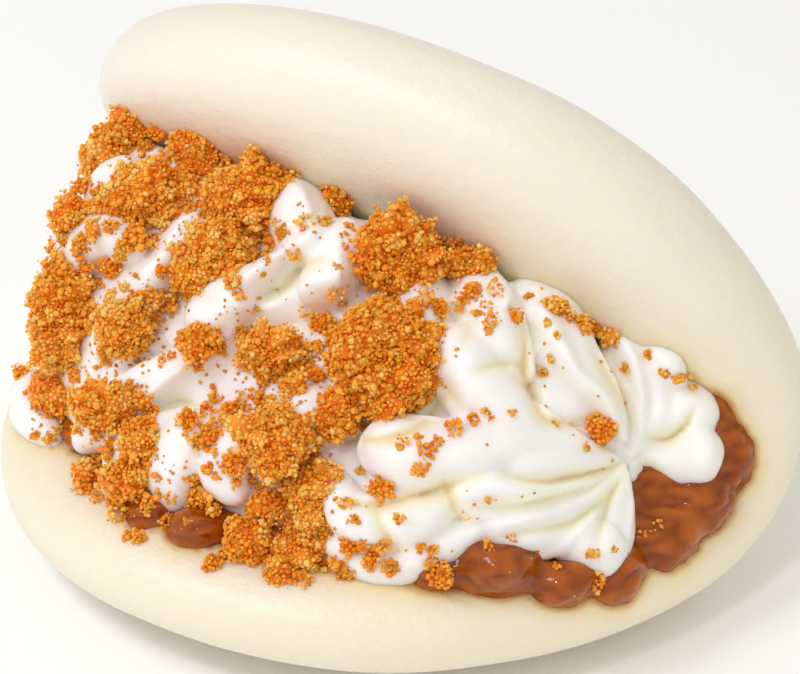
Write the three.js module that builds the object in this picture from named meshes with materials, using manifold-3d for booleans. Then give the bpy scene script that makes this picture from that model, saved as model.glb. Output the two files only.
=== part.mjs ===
// A folded steamed bun, filled with pieces of fruit in caramel, whipped cream and biscuit crumble.
// Lengths are in millimetres and Z is up. The fold runs along X at the back, the mouth faces -Y.

import * as THREE from "three";
import { mergeVertices } from "three/addons/utils/BufferGeometryUtils.js";
import Module from "manifold-3d";

const wasm = await Module();
wasm.setup();

// Dough: an oval pillow that is folded over its middle line
const HALF_LENGTH = 52;
const LOWER_LENGTH = 60.9;
const UPPER_LENGTH = 56.9;
const OVAL_POWER = 2.19;
const OUTER_THICKNESS = 9.6;
const INNER_THICKNESS = 8.1;
const CROWN = 0.08;
const EDGE_POWER = 7.3;
const UPPER_FULLNESS = 1.23;

// Fold: the bend between the lobes, the angle they stand open, how each lobe curls, and how the
// fold's line and the upper lobe lean
const FOLD_RADIUS = 16;
const OPENING_DEGREES = 75.4;
const OPENING_TILT = 13;
const OPENING_FLARE = -10.3;
const UPPER_CURL = 0.66;
const LOWER_CURL = 0.31;
const UPPER_SHEAR = -4.2;
const FOLD_STRETCH = 0.048;
const FOLD_SWEEP = 5.2;
const FOLD_LIFT = 1.4;
const REST_LEVEL = -15.4;

// The mouth is seen from a point in front of it. Places on the filling are given as they look
// from there: across and up, on a plane through the middle of the mouth.
const MOUTH_AZIMUTH = 39.1;
const MOUTH_ELEVATION = 36.2;
const VIEWING_DISTANCE = 550;
const FACED_POINT = new THREE.Vector3(0, -25, 18);
const MOUTH_MIDDLE = new THREE.Vector3(6.2, -16.5, 21.7);

// Gap kept between neighbouring pieces, and the slightly wider one between a heap and the dough
const GAP = 0.3;
const HEAP_GAP = 0.6;

// Heaps in the mouth: how far along the fold they reach, how far out on either lobe, how much
// further up at the left end, and how far the front stands out from the straight line between its edges
const CARAMEL_HEAP = { left: -0.86, right: 0.95, lower: 0.87, upper: 0.2, lean: 0, bulge: 3, spread: 0.02 };
const CREAM_HEAP = { left: -0.98, right: 0.82, lower: 0.82, upper: 0.67, lean: 0.2, bulge: 5, spread: 0.1 };

// Pieces of fruit and blobs of caramel at the edge: place, half size, and how far they stand out
const CARAMEL_LUMPS = [
  { at: [14.6, -34.0], half: [6.8, 4.4], proud: 2.4 },
  { at: [7.4, -34.6], half: [3.4, 2.6], proud: 1.6 },
  { at: [22.6, -36.4], half: [5.0, 3.2], proud: 2.0 },
  { at: [28.8, -35.4], half: [4.6, 4.4], proud: 2.4 },
  { at: [34.6, -31.2], half: [5.6, 5.2], proud: 2.4 },
  { at: [39.6, -26.6], half: [4.8, 5.2], proud: 2.2 },
  { at: [43.0, -20.8], half: [4.4, 6.0], proud: 2.0 },
  { at: [42.0, -15.0], half: [3.2, 4.0], proud: 1.4 },
  { at: [-27.4, -27.0], half: [3.8, 4.0], proud: 2.2 },
  { at: [-21.6, -28.8], half: [4.4, 2.8], proud: 1.8 },
];

// Piped ridges of cream: the line each one follows, its half width, how far it stands out, and
// whether it runs out into a thin tail
const CREAM_RIDGES = [
  // The rosette at the right, whose ridges run together in one tail
  { path: [[18.6, 0.2], [23.6, -7.4], [28.6, -13.6], [31.6, -20.6]], half: 5.6, proud: 1.6, tail: true },
  { path: [[28.6, -5.0], [33.8, -10.0], [35.4, -15.4], [32.2, -20.8]], half: 4.2, proud: 0.8, tail: true },
  { path: [[41.0, -13.0], [37.6, -16.4], [32.6, -20.8]], half: 4.6, proud: 1.0, tail: true },
  { path: [[42.0, -20.6], [37.6, -21.2], [32.8, -21.4]], half: 5.2, proud: 1.4, tail: true },
  { path: [[36.6, -27.0], [34.6, -24.6], [32.4, -21.8]], half: 4.2, proud: 1.0, tail: true },
  { path: [[24.0, -34.6], [28.0, -30.4], [31.6, -22.4]], half: 5.4, proud: 1.6, tail: true },
  { path: [[13.0, -28.8], [19.4, -29.6], [25.6, -27.0], [31.0, -22.0]], half: 4.8, proud: 1.4, tail: true },
  { path: [[6.8, -22.8], [14.8, -25.0], [23.4, -24.4], [30.6, -21.6]], half: 4.6, proud: 1.2, tail: true },
  { path: [[-1.6, -17.6], [6.0, -20.6], [14.6, -19.6], [23.4, -19.0], [30.4, -21.0]], half: 5.2, proud: 1.6, tail: true },
  { path: [[9.4, -4.6], [13.4, -13.0], [19.6, -17.0], [29.4, -20.4]], half: 5.2, proud: 1.0, tail: true },
  // The folds that run down from under the upper lobe
  { path: [[12.0, 3.6], [14.6, -4.6], [19.4, -12.0]], half: 5.0, proud: 0.8, tail: false },
  { path: [[4.0, 6.0], [6.0, -2.0], [8.4, -10.0]], half: 4.6, proud: 0.4, tail: false },
  { path: [[-9.6, 14.0], [-8.4, 8.0], [-4.0, 2.0]], half: 4.6, proud: 0.8, tail: false },
  { path: [[-8.6, -1.4], [-3.6, 3.6], [-2.6, 8.6]], half: 4.4, proud: 1.4, tail: false },
  { path: [[33.6, -7.2], [36.6, -9.8], [38.4, -12.2]], half: 2.6, proud: 0.4, tail: false },
  // The rims of the rope that was piped along the lower lobe
  { path: [[-5.2, -22.4], [-3.0, -27.0], [3.6, -28.4], [10.0, -26.4]], half: 4.2, proud: 1.6, tail: false },
  { path: [[-6.4, -30.6], [0.0, -33.4], [8.6, -31.4], [14.6, -29.4]], half: 3.8, proud: 1.0, tail: false },
  { path: [[-14.0, -22.0], [-9.0, -16.0], [-3.0, -14.0]], half: 4.4, proud: 0.8, tail: false },
  // The sharp ridges and the rolled end at the left
  { path: [[-34.0, -7.6], [-27.6, 0.2], [-19.4, 10.6]], half: 3.4, proud: 1.6, tail: true },
  { path: [[-36.0, -18.6], [-30.0, -12.4], [-23.2, -7.4], [-16.4, -3.6]], half: 3.8, proud: 1.8, tail: true },
  { path: [[-22.4, -5.6], [-15.0, 1.4], [-8.6, 6.4]], half: 3.8, proud: 1.6, tail: true },
  { path: [[-23.6, -26.8], [-24.4, -22.4], [-22.6, -18.0], [-17.6, -15.6]], half: 4.4, proud: 1.4, tail: false },
  { path: [[-16.4, -26.0], [-18.2, -21.0], [-13.8, -16.0]], half: 3.8, proud: 1.2, tail: false },
  { path: [[-39.0, -18.4], [-41.6, -13.6], [-41.8, -8.6]], half: 3.8, proud: 0.2, tail: false },
  { path: [[-31.6, -22.4], [-27.6, -17.4], [-19.4, -13.4]], half: 3.8, proud: 1.2, tail: true },
  { path: [[-27.6, 5.2], [-33.0, 7.6], [-36.6, 1.4]], half: 4.6, proud: 0.4, tail: false },
  { path: [[-29.0, 17.0], [-31.6, 12.6], [-33.4, 8.0]], half: 4.0, proud: 0.2, tail: false },
];

// Clusters of crumble, as large as berries: place and half size as seen in the mouth
const CLUSTERS = [
  { at: [1.8, -8.6], half: [6.4, 7.0] },
  { at: [3.6, 4.0], half: [4.2, 5.4] },
  { at: [-14.4, 11.2], half: [5.4, 5.2] },
  { at: [-18.8, 3.4], half: [4.8, 5.6] },
  { at: [-27.0, 11.6], half: [5.6, 4.0] },
  { at: [-37.6, -2.4], half: [4.6, 6.6] },
  { at: [-31.6, 17.4], half: [3.5, 3.8] },
  { at: [-30.4, -4.0], half: [3.4, 3.7] },
  { at: [-33.0, -13.4], half: [3.5, 2.6] },
  { at: [-12.2, -18.0], half: [4.1, 3.8] },
  { at: [-12.8, -7.6], half: [3.7, 2.8] },
  { at: [-8.4, -31.0], half: [3.8, 4.2] },
  { at: [-7.2, -24.8], half: [3.3, 3.8] },
  { at: [-29.4, -22.2], half: [3.8, 2.8] },
];

// Smaller crumbs, fused to the cream they lie on: place and half size
const CRUMBS = [
  { at: [-39.0, -12.2], half: 2.6 },
  { at: [-21.4, -5.8], half: 2.4 },
  { at: [-20.6, 17.8], half: 3.2 },
  { at: [-28.4, 20.4], half: 2.6 },
  { at: [-3.8, 11.6], half: 2.4 },
  { at: [-36.8, 9.8], half: 2.5 },
  { at: [-4.2, -14.8], half: 2.9 },
  { at: [-20.4, -24.8], half: 2.4 },
  { at: [-16.0, -30.6], half: 3.0 },
  { at: [-28.4, -17.8], half: 2.4 },
  { at: [-35.4, -22.6], half: 2.2 },
  { at: [28.6, -17.2], half: 1.9 },
  { at: [12.4, 3.0], half: 2.6 },
  { at: [0.8, -24.6], half: 1.3 },
];
const LOOSE_CRUMBS = 18;
const LOOSE_HALF = [0.8, 1.5];

const MATERIALS = {
  dough: new THREE.MeshStandardMaterial({ color: 0xf3e8d3, roughness: 0.55, metalness: 0 }),
  caramel: new THREE.MeshStandardMaterial({ color: 0xa8540f, roughness: 0.25, metalness: 0 }),
  cream: new THREE.MeshStandardMaterial({ color: 0xfbf7ee, roughness: 0.45, metalness: 0 }),
  crumble: new THREE.MeshStandardMaterial({ color: 0xc96a1c, roughness: 0.9, metalness: 0 }),
};

const { clamp, degToRad, lerp } = THREE.MathUtils;

// Seeded random numbers from 0 to 1
function seededRandom(seed) {
  let state = seed;
  return () => {
    state = (Math.imul(state, 1664525) + 1013904223) >>> 0;
    return state / 4294967296;
  };
}

// A closed surface made by moving each point of a sphere to the place for its two parameters
function remappedSphere(columns, rows, place) {
  const geometry = new THREE.SphereGeometry(1, columns, rows);
  const position = geometry.attributes.position;
  for (let row = 0; row <= rows; row += 1) {
    for (let column = 0; column <= columns; column += 1) {
      const point = place((column % columns) / columns, row / rows);
      position.setXYZ(row * (columns + 1) + column, point.x, point.y, point.z);
    }
  }
  return geometry;
}

function signedVolume(positions, indices) {
  const corners = [new THREE.Vector3(), new THREE.Vector3(), new THREE.Vector3()];
  let volume = 0;
  for (let i = 0; i < indices.length; i += 3) {
    corners.forEach((corner, k) => corner.fromArray(positions, indices[i + k] * 3));
    volume += corners[0].dot(corners[1].cross(corners[2])) / 6;
  }
  return volume;
}

function toSolid(geometry) {
  const bare = new THREE.BufferGeometry();
  bare.setAttribute("position", geometry.attributes.position);
  bare.setIndex(geometry.index);
  const merged = mergeVertices(bare);
  const vertProperties = merged.attributes.position.array;
  const triVerts = Uint32Array.from(merged.index.array);
  if (signedVolume(vertProperties, triVerts) < 0) {
    triVerts.reverse();
  }
  return new wasm.Manifold(new wasm.Mesh({ numProp: 3, vertProperties, triVerts }));
}

function toGeometry(solid) {
  const { vertProperties, triVerts } = solid.getMesh();
  const geometry = new THREE.BufferGeometry();
  geometry.setAttribute("position", new THREE.BufferAttribute(vertProperties, 3));
  geometry.setIndex(new THREE.BufferAttribute(triVerts, 1));
  geometry.computeVertexNormals();
  return geometry;
}

function toMesh(name, solid, material) {
  const mesh = new THREE.Mesh(toGeometry(solid), material);
  mesh.name = name;
  return mesh;
}

function largestBody(solid) {
  const bodies = solid.decompose();
  return bodies.reduce((best, body) => (body.volume() > best.volume() ? body : best));
}

// Width of the oval at a place along the fold, as a share of its full width
function ovalWidth(along) {
  return Math.max(0, 1 - Math.abs(along) ** OVAL_POWER) ** (1 / OVAL_POWER);
}

// Distance from the centre of the oval, 1 at its edge
function ovalReach(along, over) {
  const sum = Math.abs(along) ** OVAL_POWER + Math.abs(over) ** OVAL_POWER;
  return Math.min(1, sum ** (1 / OVAL_POWER));
}

// Direction of the dough in the fold's cross-section, at a length over the fold
function doughSlope(length, turn) {
  const halfBend = FOLD_RADIUS * turn / 2;
  const bend = turn * clamp((length + halfBend) / (2 * halfBend), 0, 1);
  const upperCurl = UPPER_CURL * Math.max(length - halfBend, 0) / LOWER_LENGTH;
  const lowerCurl = LOWER_CURL * Math.max(-length - halfBend, 0) / LOWER_LENGTH;
  return bend + upperCurl - lowerCurl;
}

// A point of the dough: along the fold and over it, each from -1 to 1 on the oval, and depth from
// the middle layer, which is positive towards the outside of the fold
function doughPoint(along, over, depth) {
  const opening = OPENING_DEGREES + OPENING_TILT * along + OPENING_FLARE * along * along;
  const turn = Math.PI - degToRad(opening);
  const length = over * (over > 0 ? UPPER_LENGTH : LOWER_LENGTH);
  const steps = 24;
  const step = length / steps;
  let y = FOLD_SWEEP * along * along;
  let z = FOLD_LIFT * along * along;
  for (let i = 0; i < steps; i += 1) {
    const slope = doughSlope((i + 0.5) * step, turn);
    y += Math.cos(slope) * step;
    z += Math.sin(slope) * step;
  }
  const slope = doughSlope(length, turn);
  const x = HALF_LENGTH * along * (1 + FOLD_STRETCH * along) + UPPER_SHEAR * Math.max(over, 0);
  const point = new THREE.Vector3(x, y, z);
  point.add(new THREE.Vector3(0, Math.sin(slope), -Math.cos(slope)).multiplyScalar(depth));
  point.z = Math.max(point.z, REST_LEVEL);
  return point;
}

// Half thickness of the dough on its outer or inner side, from full at the middle to none at the edge
function doughDepth(along, over, outside) {
  const reach = ovalReach(along, over);
  const fullness = Math.sqrt(1 - reach ** EDGE_POWER);
  const puff = 1 + (UPPER_FULLNESS - 1) * clamp(1.6 * over, 0, 1);
  const outer = OUTER_THICKNESS * (1 + CROWN * (1 - reach * reach));
  return fullness * puff * (outside ? outer : -INNER_THICKNESS);
}

// The whole bun, grown by a clearance when it is used to cut what lies in it
function bunSolid(grow) {
  const columns = 36;
  const rows = 24;
  const foldDensity = 1.8;
  const scale = 1 + grow / HALF_LENGTH;
  const geometry = remappedSphere(columns, rows, (around, down) => {
    const along = -Math.cos(Math.PI * down);
    const outside = around < 0.5;
    const share = outside ? 4 * around - 1 : 3 - 4 * around;
    const over = ovalWidth(along) * Math.sign(share) * Math.sin(Math.PI / 2 * Math.abs(share) ** foldDensity);
    const depth = doughDepth(along, over, outside);
    const grown = depth * (1 + grow / (outside ? OUTER_THICKNESS : INNER_THICKNESS));
    return doughPoint(along * scale, over * scale, grown);
  });
  return toSolid(geometry);
}

// A heap that fills the mouth between the lobes: one side follows the dough, the other bulges out
function mouthHeap(heap, grow) {
  const columns = 20;
  const rows = 12;
  const middle = (heap.left + heap.right) / 2;
  const halfSpan = (heap.right - heap.left) / 2;
  const geometry = remappedSphere(columns, rows, (around, down) => {
    const share = -Math.cos(Math.PI * down);
    const closing = Math.sqrt(1 - share ** 6);
    if (closing === 0) {
      const end = middle + halfSpan * share * (1 + 2 * grow / HALF_LENGTH);
      return doughPoint(end, 0, doughDepth(end, 0, false));
    }
    const along = middle + halfSpan * share;
    const width = ovalWidth(along) * closing + 3 * grow / LOWER_LENGTH;
    const lower = -heap.lower * width;
    const upper = (heap.upper - heap.lean * along) * width;
    const onDough = (over) => doughPoint(along, over, doughDepth(along, over, false) - HEAP_GAP + grow);
    if (around < 0.5) {
      return onDough(lerp(lower, upper, 2 * around));
    }
    const front = 2 * around - 1;
    const top = onDough(upper);
    const bottom = onDough(lower);
    const chord = bottom.clone().sub(top);
    const outward = new THREE.Vector3(0, chord.z, -chord.y).normalize();
    const swell = closing * Math.sqrt(Math.sin(Math.PI * front));
    const point = top.lerp(bottom, front).addScaledVector(outward, heap.bulge * swell + 2 * grow);
    point.x *= 1 + heap.spread * swell;
    return point;
  });
  return toSolid(geometry);
}

// Directions of the mouth: towards the viewing point, and across and up as seen from there
const mouthOut = new THREE.Vector3(
  Math.sin(degToRad(MOUTH_AZIMUTH)) * Math.cos(degToRad(MOUTH_ELEVATION)),
  -Math.cos(degToRad(MOUTH_AZIMUTH)) * Math.cos(degToRad(MOUTH_ELEVATION)),
  Math.sin(degToRad(MOUTH_ELEVATION)),
);
const mouthAcross = new THREE.Vector3(Math.cos(degToRad(MOUTH_AZIMUTH)), Math.sin(degToRad(MOUTH_AZIMUTH)), 0);
const mouthUp = mouthOut.clone().cross(mouthAcross);
const viewingPoint = FACED_POINT.clone().addScaledVector(mouthOut, VIEWING_DISTANCE);

// The places where lines of sight first meet a surface. One that misses keeps the distance of the
// place before it.
function landAll(surfaces, places) {
  const raycaster = new THREE.Raycaster();
  let distance = VIEWING_DISTANCE;
  return places.map(([across, up]) => {
    const aim = MOUTH_MIDDLE.clone().addScaledVector(mouthAcross, across).addScaledVector(mouthUp, up);
    const sight = aim.sub(viewingPoint).normalize();
    raycaster.set(viewingPoint, sight);
    const [hit] = raycaster.intersectObjects(surfaces);
    distance = hit ? hit.distance : distance;
    return viewingPoint.clone().addScaledVector(sight, distance);
  });
}

// A ridge of cream along a line on the heap, round at its thick end
function ridgeSolid(ridge, grow) {
  const columns = 6;
  const rows = 8;
  const landed = landAll([creamHeap, bunSurface], ridge.path);
  const points = landed.map((point) => point.addScaledVector(mouthOut, ridge.proud));
  const curve = new THREE.CatmullRomCurve3(points);
  const geometry = remappedSphere(columns, rows, (around, down) => {
    const profile = ridge.tail ? Math.sin(Math.PI * Math.sqrt(down)) : Math.sqrt(Math.sin(Math.PI * down));
    const radius = down > 0 && down < 1 ? ridge.half * profile + grow : 0;
    const tangent = curve.getTangentAt(down);
    const side = tangent.clone().cross(mouthOut).normalize();
    const top = side.clone().cross(tangent);
    const angle = 2 * Math.PI * around + Math.PI / 2;
    const point = curve.getPointAt(down).addScaledVector(tangent, grow * (2 * down - 1));
    point.addScaledVector(side, radius * Math.cos(angle));
    return point.addScaledVector(top, radius * Math.sin(angle));
  });
  return toSolid(geometry);
}

// A rough lump: a ball with a slow wave and a fine roughness on it, turned to face the viewer
function lumpSolid(centre, half, rough, seed, grow) {
  const size = Math.max(...half);
  const detail = size > 5.3 ? 2 : size > 2.6 ? 1 : 0;
  const geometry = new THREE.IcosahedronGeometry(1, detail);
  const position = geometry.attributes.position;
  const random = seededRandom(seed);
  const phase = [random(), random(), random()].map((value) => 2 * Math.PI * value);
  const unit = new THREE.Vector3();
  for (let i = 0; i < position.count; i += 1) {
    unit.fromBufferAttribute(position, i);
    const slow = Math.sin(3.1 * unit.x + phase[0]) * Math.sin(2.7 * unit.y + phase[1]);
    const fine = Math.sin(7.3 * unit.x + phase[1]) * Math.sin(8.1 * unit.y + phase[2]) * Math.sin(6.7 * unit.z);
    const swell = 1 + rough * (slow + fine);
    const point = centre.clone();
    point.addScaledVector(mouthAcross, (half[0] * swell + grow) * unit.x);
    point.addScaledVector(mouthUp, (half[1] * swell + grow) * unit.y);
    point.addScaledVector(mouthOut, (half[2] * swell + grow) * unit.z);
    position.setXYZ(i, point.x, point.y, point.z);
  }
  return toSolid(geometry);
}

// What the toppings land on
const bunSurface = toMesh("bun_surface", bunSolid(0), MATERIALS.dough);
const caramelHeap = toMesh("caramel_heap", mouthHeap(CARAMEL_HEAP, 0), MATERIALS.caramel);
const creamHeap = toMesh("cream_heap", mouthHeap(CREAM_HEAP, 0), MATERIALS.cream);

// Caramel: a low heap on the lower lobe with the fruit that shows at its edge
function caramelSolid(grow) {
  const centres = landAll([caramelHeap, bunSurface], CARAMEL_LUMPS.map((lump) => lump.at));
  const lumps = CARAMEL_LUMPS.map((lump, i) => {
    const centre = centres[i].addScaledVector(mouthOut, lump.proud - lump.half[1]);
    const half = [...lump.half, Math.max(...lump.half)];
    return lumpSolid(centre, half, 0.07, 11 + i, grow);
  });
  return wasm.Manifold.union([mouthHeap(CARAMEL_HEAP, grow), ...lumps]);
}

// Cream: a heap with piped ridges
function creamSolid(grow) {
  const ridges = CREAM_RIDGES.map((ridge) => ridgeSolid(ridge, grow));
  return wasm.Manifold.union([mouthHeap(CREAM_HEAP, grow), ...ridges]);
}

// Places for the loose crumbs: thick at the left, thin at the right, none where a cluster lies
function loosePlaces() {
  const random = seededRandom(5);
  const places = [];
  while (places.length < LOOSE_CRUMBS) {
    const across = lerp(-40, 30, random() ** 1.5);
    const up = lerp(-32, 20, random()) - 0.35 * (across + 15);
    const half = lerp(...LOOSE_HALF, random());
    const clear = [...CLUSTERS, ...CRUMBS, ...places].every(({ at, half: other }) => {
      const span = Array.isArray(other) ? Math.max(...other) : other;
      return Math.hypot(across - at[0], up - at[1]) > span + half;
    });
    if (clear && up < 16 - 0.55 * (across + 20) && up > -34) {
      places.push({ at: [across, up], half });
    }
  }
  return places;
}

function crumbSolids(surface, grow) {
  const crumbs = [...CRUMBS, ...loosePlaces()];
  const centres = landAll([surface, bunSurface], crumbs.map((crumb) => crumb.at));
  return crumbs.map((crumb, i) => {
    const centre = centres[i].addScaledVector(mouthOut, 0.2 * crumb.half);
    return lumpSolid(centre, [crumb.half, crumb.half, crumb.half], 0.12, 101 + i, grow);
  });
}

const bun = bunSolid(0);
const bunCutter = bunSolid(GAP);

const caramel = largestBody(caramelSolid(0).subtract(bunCutter));
const plainCream = creamSolid(0).subtract(bunCutter).subtract(caramelSolid(GAP));
const creamSurface = toMesh("cream", plainCream, MATERIALS.cream);
const crumbs = wasm.Manifold.union(crumbSolids(creamSurface, 0));
const cuts = wasm.Manifold.union([bunCutter, caramelSolid(GAP)]);
const cream = largestBody(plainCream.add(crumbs).subtract(cuts));

const creamCutter = wasm.Manifold.union([creamSolid(GAP), ...crumbSolids(creamSurface, GAP)]);
let clusterCutter = wasm.Manifold.union([cuts, creamCutter]);
const clusterCentres = landAll([creamSurface, bunSurface], CLUSTERS.map((cluster) => cluster.at));
const clusters = CLUSTERS.map((cluster, i) => {
  const deep = 0.8 * Math.min(...cluster.half);
  const centre = clusterCentres[i].addScaledVector(mouthOut, 0.45 * deep);
  const half = [...cluster.half, deep];
  const solid = largestBody(lumpSolid(centre, half, 0.1, 37 + i, 0).subtract(clusterCutter));
  clusterCutter = clusterCutter.add(lumpSolid(centre, half, 0.1, 37 + i, GAP));
  return toMesh(`crumb_cluster_${String(i + 1).padStart(2, "0")}`, solid, MATERIALS.crumble);
});

const group = new THREE.Group();
group.add(toMesh("bun", bun, MATERIALS.dough));
group.add(toMesh("caramel_filling", caramel, MATERIALS.caramel));
group.add(toMesh("whipped_cream", cream, MATERIALS.cream));
group.add(...clusters);

// The origin is under the middle of the object, on the surface it stands on
const box = new THREE.Box3().setFromObject(group);
const middle = box.getCenter(new THREE.Vector3());
group.children.forEach((mesh) => mesh.geometry.translate(-middle.x, -middle.y, -box.min.z));

export default group;
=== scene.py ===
# %% [markdown]
# # A folded steamed bun with cream, caramel fruit and crumble
#
# The real thing is an oval of soft white dough, steamed, folded over and left standing open. Fruit
# in caramel lies on the lower lobe, whipped cream is piped over it, and biscuit crumble is strewn
# on top. Each of these is made in its own step below: first its shape, then its finish.
#
# The imported solids come in first as a fixed frame. Every piece made here takes the place of one of
# them, so it has to lie exactly where that solid lies. The box round the bun's solid is kept, to set
# the pieces in that frame.

# %% The frame
import math

import bmesh
import bpy
import numpy as np
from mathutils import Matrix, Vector, noise
from mathutils.bvhtree import BVHTree


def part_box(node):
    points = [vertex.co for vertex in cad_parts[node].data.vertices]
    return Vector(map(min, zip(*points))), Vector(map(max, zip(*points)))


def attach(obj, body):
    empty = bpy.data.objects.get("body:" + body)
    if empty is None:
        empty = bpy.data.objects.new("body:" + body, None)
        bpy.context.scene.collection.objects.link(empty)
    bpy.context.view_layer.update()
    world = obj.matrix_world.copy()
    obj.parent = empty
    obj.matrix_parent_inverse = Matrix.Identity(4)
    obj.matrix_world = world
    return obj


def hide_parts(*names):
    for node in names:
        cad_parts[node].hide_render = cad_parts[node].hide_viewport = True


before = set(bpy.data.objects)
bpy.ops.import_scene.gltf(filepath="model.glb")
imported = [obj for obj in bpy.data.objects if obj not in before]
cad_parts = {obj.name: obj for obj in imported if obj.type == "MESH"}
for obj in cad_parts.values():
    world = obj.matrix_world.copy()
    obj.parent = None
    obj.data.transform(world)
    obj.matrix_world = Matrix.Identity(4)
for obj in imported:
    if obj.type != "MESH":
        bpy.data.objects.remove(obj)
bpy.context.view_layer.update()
MILLIMETRE = 0.001

# %% [markdown]
# ## The form of the dough
#
# Think of the dough as a flat oval pillow that is bent over its middle line. A place in it is given
# by three numbers: `along` the fold and `over` it, each from -1 to 1 on the oval, and the `depth`
# from the middle layer, in millimetres. One function folds such a place into space. Its bend is a
# slope that grows from nothing on the lower lobe to the full turn on the upper one, and adding up
# small steps along that slope gives the curve of the fold. Because it is a function, the bun can be
# as fine as we like, and everything that lies in the bun can be placed with it too.

# %% The sizes of the dough, in millimetres
HALF_LENGTH = 52
LOWER_LENGTH = 60.9
UPPER_LENGTH = 56.9
OVAL_POWER = 2.19
OUTER_THICKNESS = 9.6
INNER_THICKNESS = 8.1
MIDDLE_RISE = 0.08
EDGE_POWER = 7.3
UPPER_FULLNESS = 1.23
FULLNESS_GROWTH = 1.6

FOLD_RADIUS = 16
OPENING_DEGREES = 75.4
OPENING_TILT = 13
OPENING_FLARE = -10.3
UPPER_CURL = 0.66
LOWER_CURL = 0.31
UPPER_SHEAR = -4.2
FOLD_STRETCH = 0.048
FOLD_SWEEP = 5.2
FOLD_LIFT = 1.4
REST_LEVEL = -15.4


# %% Folding a place of the oval into space
def oval_width(along):
    return np.maximum(0, 1 - np.abs(along) ** OVAL_POWER) ** (1 / OVAL_POWER)


def dough_slope(length, turn):
    half_bend = FOLD_RADIUS * turn / 2
    bend = turn * np.clip((length + half_bend) / (2 * half_bend), 0, 1)
    upper_curl = UPPER_CURL * np.maximum(length - half_bend, 0) / LOWER_LENGTH
    lower_curl = LOWER_CURL * np.maximum(-length - half_bend, 0) / LOWER_LENGTH
    return bend + upper_curl - lower_curl


def dough_point(along, over, depth):
    along, over, depth = np.broadcast_arrays(along, over, depth)
    opening = OPENING_DEGREES + OPENING_TILT * along + OPENING_FLARE * along**2
    turn = math.pi - np.radians(opening)
    length = over * np.where(over > 0, UPPER_LENGTH, LOWER_LENGTH)
    steps = 24
    step = length / steps
    y = FOLD_SWEEP * along**2
    z = FOLD_LIFT * along**2
    for i in range(steps):
        slope = dough_slope((i + 0.5) * step, turn)
        y = y + np.cos(slope) * step
        z = z + np.sin(slope) * step
    slope = dough_slope(length, turn)
    x = HALF_LENGTH * along * (1 + FOLD_STRETCH * along) + UPPER_SHEAR * np.maximum(over, 0)
    y = y + depth * np.sin(slope)
    z = np.maximum(z - depth * np.cos(slope), REST_LEVEL)
    return np.stack([x, y, z], axis=-1)


def dough_depth(along, over, outside):
    total = np.abs(along) ** OVAL_POWER + np.abs(over) ** OVAL_POWER
    reach = np.minimum(1, total ** (1 / OVAL_POWER))
    fullness = np.sqrt(1 - reach**EDGE_POWER)
    puff = 1 + (UPPER_FULLNESS - 1) * np.clip(FULLNESS_GROWTH * over, 0, 1)
    outer = OUTER_THICKNESS * (1 + MIDDLE_RISE * (1 - reach**2))
    return fullness * puff * np.where(outside, outer, -INNER_THICKNESS)


# %% [markdown]
# ## Closed meshes from a grid
#
# The bun and the heaps in it are closed skins. The simplest closed grid is that of a globe: rings of
# four-sided faces between two poles. `globe` gives the two shares of each point, round the ring and
# down from pole to pole, and the faces that join the points. A shape is then only a rule for where
# each pair of shares goes.

# %% A globe's grid
def globe(columns, rows):
    around = np.tile(np.arange(columns) / columns, rows - 1)
    down = np.repeat(np.arange(1, rows) / rows, columns)
    around = np.concatenate([[0.0], around, [0.0]])
    down = np.concatenate([[0.0], down, [1.0]])
    last = len(down) - 1
    faces = []
    for row in range(rows):
        for column in range(columns):
            beside = (column + 1) % columns
            above = 1 + (row - 1) * columns
            below = 1 + row * columns
            if row == 0:
                faces.append((0, below + column, below + beside))
            elif row == rows - 1:
                faces.append((last, above + beside, above + column))
            else:
                faces.append((above + column, below + column, below + beside, above + beside))
    return around, down, faces


def bun_points(columns, rows):
    around, down, faces = globe(columns, rows)
    along = -np.cos(np.pi * down)
    outside = around < 0.5
    share = np.where(outside, 4 * around - 1, 3 - 4 * around)
    fold_density = 1.8
    over = oval_width(along) * np.sign(share) * np.sin(np.pi / 2 * np.abs(share) ** fold_density)
    return dough_point(along, over, dough_depth(along, over, outside)), faces


# %% [markdown]
# ## One frame for both
#
# The form has its zero at the fold, but the frame has its origin under the middle of the object. So
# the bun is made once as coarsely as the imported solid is, and the shift between the two boxes is the
# shift for everything.

# %% From the form's millimetres to the frame's metres
SOLID_COLUMNS = 36
SOLID_ROWS = 24
coarse_points, _ = bun_points(SOLID_COLUMNS, SOLID_ROWS)
bun_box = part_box("bun")
SHIFT = np.array(bun_box[0]) / MILLIMETRE - coarse_points.min(axis=0)
print("shift in mm:", SHIFT.round(3), "and from the far corner:",
      (np.array(bun_box[1]) / MILLIMETRE - coarse_points.max(axis=0)).round(3))


def to_frame(points):
    return (np.asarray(points) + SHIFT) * MILLIMETRE


def add_object(name, data):
    added = bpy.data.objects.new(name, data)
    bpy.context.scene.collection.objects.link(added)
    return added


def make_piece(name, points, faces, smooth=True):
    """A new object from points in the form's millimetres"""
    mesh = bpy.data.meshes.new(name)
    mesh.from_pydata(to_frame(points).tolist(), [], faces)
    mesh.update()
    if smooth:
        mesh.shade_smooth()
    return add_object(name, mesh)


def finish_piece(piece, slot, material, *nodes):
    piece.data.materials.clear()
    piece.data.materials.append(material)
    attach(piece, "root")
    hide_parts(*nodes)
    print(piece.name, "has", len(piece.data.polygons), "faces")


def face_outwards(piece):
    work = bmesh.new()
    work.from_mesh(piece.data)
    bmesh.ops.recalc_face_normals(work, faces=work.faces)
    work.to_mesh(piece.data)
    work.free()


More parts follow.
